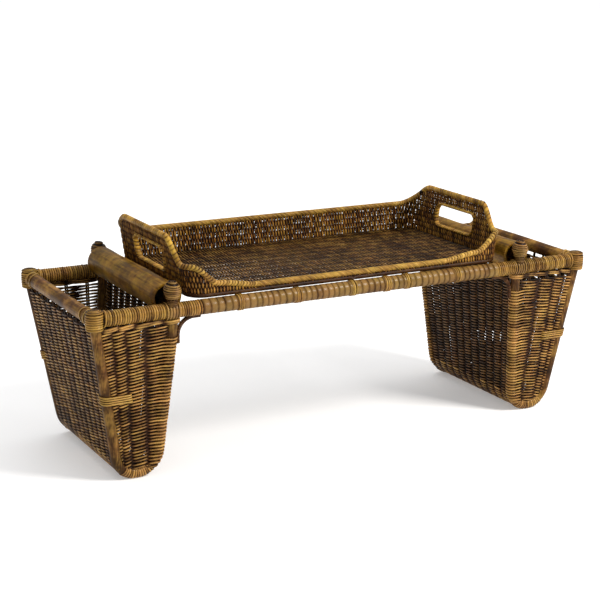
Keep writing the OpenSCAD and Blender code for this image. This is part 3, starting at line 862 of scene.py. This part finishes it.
def brace(side, sx, end, sy):
    """Quarter bend from under the rail down to the inner leg, wound with fine cane."""
    name = f"{side}_{end}_brace"
    rho = 24 * MM
    x, z = FLAT_HALF + 7.6 * MM, RH - 35.8 * MM
    bend = [(x + rho * math.sin(a), z + rho * math.cos(a)) for a in np.linspace(0, math.pi / 2, 14)]
    run = np.array([(x - 9 * MM, z + rho), *bend, (x + rho, z - 6 * MM), (x + rho, z - 11.5 * MM)])
    path = np.stack([sx * run[:, 0], np.full(len(run), -sy * (RY - 3.4 * MM)), run[:, 1]], -1)
    b = Bundle(10)
    b.add(path, (0, -float(sy), 0), 2.5 * MM, tone=0.1, rise=0.5)
    along = lengths(path)
    tang = unit(np.gradient(path, axis=0))
    for q in np.arange(0.5 * MM, along[-1] - 0.5 * MM, 2.0 * MM):
        centre, t = read_at(q, along, path, tang)
        t /= np.linalg.norm(t)
        side_way = np.cross(t, (0, 1, 0))
        side_way /= np.linalg.norm(side_way)
        turn(b, centre, (t, side_way, (0, 1, 0)), 2.45 * MM, 0.85 * MM, lean=0.3 * MM, lean_at=0.5,
             tone=draw(0, 0.8), count=12)
    finish_piece(b.build(name + "_rod"), brace_cane, "stand", [name])


def end_rail(side, sx):
    """Bare pole between the caps, with the slight bends and knuckles of grown cane."""
    length = 2 * (RY - CAP_R + 3.5 * MM)
    obj = lying_cylinder(side + "_end_rail_pole", 36, END_R, length, "NGON", 60)
    knuckle = 31 * MM if sx > 0 else -44 * MM
    for v in obj.data.vertices:
        y = v.co.y
        ridge = 0.03 * math.exp(-((y - knuckle) / (3.2 * MM)) ** 2)
        groove = 0.02 * math.exp(-((y - knuckle - 5 * MM) / (2.5 * MM)) ** 2)
        swell = 1 - 0.035 + 0.02 * math.sin(y * 31 + sx) + ridge - groove
        bend = 0.35 * MM * math.sin(y * 19 + 1.3 * sx)
        v.co = (sx * RX + v.co.x * swell + bend, y, RH + v.co.z * swell)
    bpy.ops.object.shade_smooth_by_angle(angle=SMOOTH_ANGLE)
    finish_piece(obj, rail_skin, "stand", [side + "_end_rail"])
    # flat strips crossing near the caps
    b = Bundle(8)
    for sy in (1, -1):
        yc = -sy * (RY - CAP_R)
        turn(b, (sx * RX, yc + sy * 1.2 * MM, RH), LYING_Y, END_R + 0.2 * MM, 1.0 * MM, wide=1.5 * MM, tone=0.9,
             count=24)
        for inward, over, lean, lean_at, tone in ((9, 0.15, 7, 0.6, 0.7), (11, 0.35, -7, 0.9, 0.85)):
            turn(b, (sx * RX, yc + sy * inward * MM, RH), LYING_Y, END_R + over * MM, 0.75 * MM, wide=2.2 * MM,
                 lean=lean * MM, lean_at=lean_at * sx, tone=tone, count=26)
    finish_piece(b.build(side + "_end_rail_strips"), band_cane, "stand", [side + "_end_bindings"])


def fence_bar(side, sx):
    """Thick hollow cane, open at both ends, with shallow flats along it."""
    obj = lying_cylinder(side + "_fence_bar_cane", 48, FENCE_R, 2 * FENCE_HALF, "NOTHING", 48)
    solid = obj.modifiers.new("wall", "SOLIDIFY")
    solid.thickness = FENCE_WALL
    solid.offset = -1
    bpy.ops.object.modifier_apply(modifier="wall")
    edge = obj.modifiers.new("edge", "BEVEL")
    edge.width = 1.1 * MM
    edge.segments = 3
    edge.limit_method = "ANGLE"
    edge.angle_limit = math.radians(50)
    bpy.ops.object.modifier_apply(modifier="edge")
    for v in obj.data.vertices:
        a = math.atan2(v.co.z, v.co.x)
        y = v.co.y
        s = (1 - 0.022 + 0.012 * math.sin(3 * a + y * 9) + 0.010 * math.sin(y * 43 + 2 * a)
             + 0.008 * math.sin(y * 95 + 5 * a + sx))
        v.co = (sx * FENCE[0] + v.co.x * s, y + 0.9 * MM * math.sin(2 * a) * (y / FENCE_HALF),
                FENCE[2] + v.co.z * s)
    bpy.ops.object.shade_smooth_by_angle(angle=SMOOTH_ANGLE)
    finish_piece(obj, fence_skin, "stand", [side + "_fence_bar"])


for side, sx in SIDES_OF:
    for end, sy in ENDS_OF:
        corner_cap(side, sx, end, sy)
        knob(side, sx, end, sy)
        post(side, sx, end, sy)
        brace(side, sx, end, sy)
    end_rail(side, sx)
    fence_bar(side, sx)

# ---------------- tray


def top_along(u):
    """Top of the border along the front wall and its corner, from the end wall's side."""
    shoulder = FRONT_H + 31.5 * MM
    u = np.asarray(u) / MM
    return (FRONT_H + 7.5 * MM * smooth((u + 75) / 60) + 24 * MM * smooth((u + 16) / 36)
            + (GRIP_H - shoulder) * smooth((u - 37) / 42))


def top_back(w):
    """Top of the border along the rear wall and its corner, from the end wall's side."""
    w = np.asarray(w) / MM
    return REAR_H + (GRIP_H - REAR_H) * smooth((38 - w) / 60)


QUARTER = RUN_X + ARC + RUN_Y


def plan(s, sx, front):
    """Places on the tray's plan, s from the middle of a long wall round to the middle of an end wall.

    Each row is x, y, the outward way and the height of the border's top.
    """
    s = np.asarray(s, float)
    ang = np.clip((s - RUN_X) / TR, 0, math.pi / 2)
    x = np.minimum(s, RUN_X) + TR * np.sin(ang)
    y = RUN_Y + TR * np.cos(ang) - np.maximum(s - RUN_X - ARC, 0)
    nx, ny = np.sin(ang), np.cos(ang)
    sy = -1 if front else 1
    top = top_along(s - RUN_X) if front else top_back(RUN_X + ARC - s)
    return np.stack([sx * x, sy * y, sx * nx, sy * ny, top], -1)


def ring_plan(step):
    """The whole plan as one closed run, counter-clockwise from the front's middle."""
    parts = []
    s = np.arange(0, QUARTER, step)
    for sx, front, rev in ((1, True, False), (1, False, True), (-1, False, False), (-1, True, True)):
        q = plan(s, sx, front)
        parts.append(q[::-1] if rev else q)
    return np.concatenate(parts)


def wall_at(x, y, nx, ny, d, h):
    """A place in the tray wall, d inward from the outer face at the foot, h above the base."""
    return np.stack([x + nx * (h * FLARE - d), y + ny * (h * FLARE * LONG_FLARE - d), TZ + h + 0 * x], -1)


def out_of(rows):
    """Outward ways of plan rows, level."""
    return np.stack([rows[:, 2], rows[:, 3], 0 * rows[:, 2]], -1)


HOOP_STEP = 8.0 * MM
WALL_REACH = 80 * MM  # higher than any wall
HALF_SLOT = SLOT_W / 2 + 1.0 * MM
SLOT_LOW, SLOT_HIGH = SLOT_MID - SLOT_H / 2 - 1.0 * MM, SLOT_MID + SLOT_H / 2 + 1.0 * MM


def slot_edge(y, low=True):
    """Where an upright strand meets the hand slot, or None beside it."""
    a = abs(y)
    if a >= HALF_SLOT:
        return None
    r = SLOT_R + 1.0 * MM
    drop = 0.0
    if a > HALF_SLOT - r:
        drop = r - math.sqrt(max(r * r - (a - HALF_SLOT + r) ** 2, 0))
    return SLOT_LOW + drop if low else SLOT_HIGH - drop


def tray_wall(name, places, rows, end_wall):
    """Upright strands over and under lying hoops, from plan rows at each strand and along the hoops."""
    b = Bundle(6)
    for i, (x, y, nx, ny, top) in enumerate(places):
        cap = top - RIM_H + 1.5 * MM
        spans = [(1.4 * MM, cap)]
        if end_wall:
            low = slot_edge(y)
            if low is not None:
                spans = [(1.4 * MM, low), (slot_edge(y, False), cap)]
        sway = wobble(4, 0.35 * MM)
        tone = rng.random()
        for h0, h1 in spans:
            if h1 - h0 < 2 * MM:
                continue
            h = np.linspace(h0, h1, max(4, int((h1 - h0) / (1.5 * MM))))
            ph = math.pi * (h / HOOP_STEP + i)
            d = WALL_T / 2 - 0.95 * MM * swing(ph)
            side = np.interp(h, np.linspace(0, WALL_REACH, 4), sway)
            side = side - 0.2 * MM * np.sin(math.pi * h / HOOP_STEP) * (-1) ** i
            b.add(wall_at(x - ny * side, y + nx * side, nx, ny, d, h), (nx, ny, 0.0), 1.2 * MM,
                  wide=about(1.55 * MM, 0.05), tone=tone, rise=swing(ph))
    # hoops through the strands
    for k in range(int(WALL_REACH / HOOP_STEP)):
        h = (k + 1) * HOOP_STEP
        keep = rows[:, 4] - RIM_H > h - 1 * MM
        if end_wall and SLOT_LOW - 1 * MM < h < SLOT_HIGH + 1 * MM:
            keep &= np.abs(rows[:, 1]) > HALF_SLOT - 0.5 * MM
        idx = np.flatnonzero(keep)
        if len(idx) < 3:
            continue
        for run in np.split(idx, np.flatnonzero(np.diff(idx) > 1) + 1):
            if len(run) < 3:
                continue
            q = rows[run]
            b.add(wall_at(*q.T[:4], WALL_T / 2, h), out_of(q), 1.15 * MM, tone=draw(0.3, 0.3), rise=0.25)
    finish_piece(b.build(name + "_weave"), tray_cane, "tray", [name])


STRAND_STEP = 2.35 * MM
FRONT_EDGE = RUN_X + ARC - 0.4 * MM


def both_ways(s, front):
    """Plan rows from the left to the right, for places s out from the middle of a long wall."""
    left = s[1:] if s[0] == 0 else s
    return np.concatenate([plan(left, -1, front)[::-1], plan(s, 1, front)])


def end_rows(y, sx):
    """Places along an end wall: x, y, the outward way and the height of the border's top."""
    s = QUARTER - np.abs(y)
    tops = np.where(y < 0, top_along(s - RUN_X), top_back(RUN_X + ARC - s))
    side = np.full(len(y), float(sx))
    return np.stack([side * HL, y, side, 0 * y, tops], -1)


for end, front in (("front", True), ("rear", False)):
    upright = both_ways(np.arange(STRAND_STEP / 2, FRONT_EDGE, STRAND_STEP), front)
    lying = both_ways(np.linspace(0.0, FRONT_EDGE + 2 * MM, 110), front)
    tray_wall(f"tray_{end}_wall", upright, lying, False)
for side, sx in SIDES_OF:
    upright = np.arange(-RUN_Y + STRAND_STEP / 2, RUN_Y, STRAND_STEP)
    lying = np.linspace(-RUN_Y - 1 * MM, RUN_Y + 1 * MM, 70)
    tray_wall(f"tray_{side}_end_wall", end_rows(upright, sx), end_rows(lying, sx), True)


FLOOR_PITCH, FLOOR_STEP = 2.4 * MM, 19.6 * MM


def tray_floor():
    """Fine strands from front to rear, over and under lying ones that run from side to side."""
    b = Bundle(6)
    inset = 3.0 * MM

    def half_depth(x):
        a = abs(x)
        if a < RUN_X:
            return HD - inset
        q = TR - inset
        return RUN_Y + math.sqrt(max(q * q - (a - RUN_X) ** 2, 0))

    for i, x in enumerate(np.arange(-HL + inset + 1.2 * MM, HL - inset, FLOOR_PITCH)):
        half = half_depth(x)
        y = np.linspace(-half, half, max(10, int(2 * half / (3.3 * MM))))
        ph = math.pi * (y / FLOOR_STEP + i)
        z = TZ + 2.85 * MM + 0.85 * MM * np.cos(ph)
        pts = np.stack([x + wobble(len(y), 0.18 * MM), y, z], -1)
        b.add(pts, (0, 0, 1), 0.98 * MM, wide=1.27 * MM, tone=rng.random(), rise=swing(ph))
    for k in range(-6, 7):
        y = k * FLOOR_STEP
        if abs(y) > HD - inset:
            continue
        half = HL - inset
        if abs(y) >= RUN_Y:
            half = RUN_X + math.sqrt(max((TR - inset) ** 2 - (abs(y) - RUN_Y) ** 2, 0))
        x = np.linspace(-half, half, 90)
        pts = np.stack([x, y + wobble(90, 0.2 * MM), 0 * x + TZ + 2.7 * MM], -1)
        b.add(pts, (0, 0, 1), 1.0 * MM, wide=1.5 * MM, tone=0.3, rise=0.3)
    finish_piece(b.build("tray_floor_weave"), floor_cane, "tray", ["tray_floor"])


tray_floor()


def twist(b, path, one, two, radius, r, strands, lead, hand):
    """Strands twisted round a path. one and two are the cross ways at each place."""
    along = lengths(path)
    q = np.linspace(0, along[-1], int(along[-1] / lead * 14) + 2)
    P, A, B = read_at(q, along, path, one, two)
    for k in range(strands):
        ph = hand * (q / lead * 2 * math.pi) + k * 2 * math.pi / strands
        way = A * np.cos(ph)[:, None] + B * np.sin(ph)[:, None]
        b.add(P + way * radius, way, about(r, 0.03), tone=draw(0.2, 0.8))


def flat_wraps(b, path, one, two, r1, r2, pitch, wide, slant, r=0.5 * MM):
    """Flat strips wound round a bar of oval section, each turn a slanted loop. Path is an open run."""
    along = lengths(path)
    q = pitch / 2
    th = np.arange(16) * 2 * math.pi / 16
    while q < along[-1] - pitch * 0.3:
        w = rng.uniform(0.85, 1.15)
        P, A, B = read_at(q + slant * np.cos(th - 0.8), along, path, one, two)
        way = A * (np.cos(th) * r1)[:, None] + B * (np.sin(th) * r2)[:, None]
        out = A * (np.cos(th) / r1)[:, None] + B * (np.sin(th) / r2)[:, None]
        b.add(P + way, out, r, wide=wide * w, closed=True, tone=draw(0.15, 0.85), rise=1.05)
        q += pitch * w


def border_run(rows):
    """Axis of a border and its two cross ways, from plan rows."""
    h = rows[:, 4] - RIM_H / 2
    P = wall_at(*rows.T[:4], WALL_T / 2, h)
    t = unit(np.gradient(P, axis=0))
    A = out_of(rows)
    A = unit(A - (A * t).sum(1)[:, None] * t)
    B = np.cross(A, t)
    B *= np.sign(B[:, 2])[:, None]
    return P, A, B


def long_border(name, front):
    """Border of the front or rear wall: a twist in the middle, flat wraps where it climbs to the ends."""
    rise_at = RUN_X - 72 * MM if front else RUN_X + ARC - 40 * MM
    P, A, B = border_run(both_ways(np.linspace(0, rise_at, 120), front))
    b = Bundle(8)
    twist(b, P, A, B, 2.85 * MM, 1.12 * MM, 9, 24.0 * MM, hand=-1 if front else 1)
    b.add(P[::4], A[::4], 1.7 * MM, tone=0.1, rise=0.2)
    s = np.linspace(rise_at - 4 * MM, FRONT_EDGE + 1 * MM, 50)
    for sx in (-1, 1):
        P, A, B = border_run(plan(s, sx, front))
        b.add(P, A, 3.1 * MM, tone=0.5, rise=0.9)
        flat_wraps(b, P, A, B, 3.2 * MM, 3.45 * MM, 4.6 * MM, 2.35 * MM, (2.6 if sx > 0 else -2.6) * MM)
    finish_piece(b.build(name + "_cane"), rope_cane, "tray", [name])


long_border("tray_front_border", True)
long_border("tray_rear_border", False)


def end_border(side, sx):
    """Border over a raised end: flat cane wound round a rod."""
    b = Bundle(8)
    P, A, B = border_run(end_rows(np.linspace(-RUN_Y - 1 * MM, RUN_Y + 1 * MM, 120), sx))
    b.add(P, A, 3.3 * MM, tone=0.5, rise=0.9)
    flat_wraps(b, P, A, B, 3.3 * MM, 3.6 * MM, 6.6 * MM, 3.6 * MM, 2.6 * MM * sx, r=0.42 * MM)
    finish_piece(b.build(f"tray_{side}_border_wrap"), handle_wrap, "tray", [f"tray_{side}_border"])


def slot_lining(side, sx):
    """Wound frame round the hand slot."""
    b = Bundle(8)
    w, hh, r = SLOT_W / 2 - 0.2 * MM, SLOT_H / 2 - 0.2 * MM, SLOT_R
    pts = []
    for cx, ch, a0 in ((1, 1, 0), (-1, 1, 90), (-1, -1, 180), (1, -1, 270)):
        for a in np.radians(np.linspace(a0, a0 + 90, 9)):
            way = math.cos(a), math.sin(a)
            pts.append((cx * (w - r) + r * way[0], ch * (hh - r) + r * way[1], *way))
    pts = np.array(pts + pts[:1])
    fine = []
    for p, q in zip(pts[:-1], pts[1:]):
        n = max(1, int(np.linalg.norm(q[:2] - p[:2]) / (2.5 * MM)))
        fine += [p + (q - p) * k / n for k in range(n)]
    f = np.array(fine + [pts[-1]])
    h = SLOT_MID + f[:, 1]
    P = np.stack([sx * (HL + h * FLARE - WALL_T / 2), f[:, 0], TZ + h], -1)
    A = np.broadcast_to(np.array([float(sx), 0, 0]), P.shape).copy()
    B = np.stack([0 * f[:, 2], f[:, 2], f[:, 3]], -1)
    b.add(P[:-1], B[:-1], 1.2 * MM, wide=3.1 * MM, closed=True, tone=0.5, rise=0.6)
    flat_wraps(b, P, A, B, 3.6 * MM, 1.75 * MM, 5.0 * MM, 2.5 * MM, 0.9 * MM, r=0.55 * MM)
    finish_piece(b.build(f"tray_{side}_slot_wrap"), handle_wrap, "tray", [f"tray_{side}_slot_lining"])


for side, sx in SIDES_OF:
    end_border(side, sx)
    slot_lining(side, sx)


def base_hoop():
    rows = ring_plan(4.0 * MM)
    keep = np.concatenate([[True], np.linalg.norm(np.diff(rows[:, :2], axis=0), axis=1) > 0.5 * MM])
    rows = rows[keep]
    b = Bundle(10)
    b.add(wall_at(*rows.T[:4], 3.6 * MM, 1.5 * MM), out_of(rows), 2.9 * MM, wide=3.1 * MM, closed=True,
          tone=0.1, rise=0.5)
    finish_piece(b.build("tray_base_hoop_rod"), hoop_cane, "tray", ["tray_base_hoop"])


base_hoop()

# ---------------- studio

bpy.ops.object.select_all(action="DESELECT")
bpy.ops.mesh.primitive_plane_add(size=120, location=(0, 0, 0))
ground = bpy.context.object
ground.name = "studio_floor"
paper = bpy.data.materials.new("studio_paper")
paper.use_nodes = True
tree = paper.node_tree
where = tree.nodes.new("ShaderNodeTexCoord").outputs["Object"]
cloud = new_node(tree, "ShaderNodeTexNoise", {"Scale": 3.0, "Vector": where}).outputs["Fac"]
reach = new_node(tree, "ShaderNodeVectorMath", {0: where}, operation="LENGTH").outputs["Value"]
# the paper glows a little, and more so far from the tray
fade = ramp(tree, reach, 0.7, 2.6)
fade.inputs["To Min"].default_value = 0.27
fade.inputs["To Max"].default_value = 0.57
for key, value in (("Base Color", blend(tree, cloud, (0.83, 0.83, 0.835, 1), (0.85, 0.85, 0.85, 1))),
                   ("Roughness", 0.9), ("Specular IOR Level", 0.1), ("Emission Color", (1, 1, 1, 1)),
                   ("Emission Strength", fade.outputs["Result"])):
    plug(tree, tree.nodes["Principled BSDF"].inputs[key], value)
ground.data.materials.append(paper)

bpy.context.scene.view_settings.view_transform = "Standard"
world = bpy.data.worlds.new("studio")
bpy.context.scene.world = world
world.use_nodes = True
sky = world.node_tree.nodes["Background"].inputs
sky["Color"].default_value = (1, 1, 1, 1)
sky["Strength"].default_value = 0.54


def soft_light(name, place, aim, size, power, tint=(1, 1, 1)):
    light = bpy.data.lights.new(name, "AREA")
    light.shape = "RECTANGLE"
    light.size, light.size_y = size
    light.energy = power
    light.color = tint
    obj = bpy.data.objects.new(name, light)
    add_to_scene(obj)
    obj.location = place
    obj.rotation_euler = (Vector(aim) - Vector(place)).to_track_quat("-Z", "Y").to_euler()


soft_light("key_light", (1.3, -1.7, 2.0), (0, 0, 0.15), (0.8, 0.8), 84, (1.0, 0.97, 0.93))
soft_light("top_light", (-0.3, 0.7, 2.4), (0, 0, 0.2), (1.8, 1.4), 22)
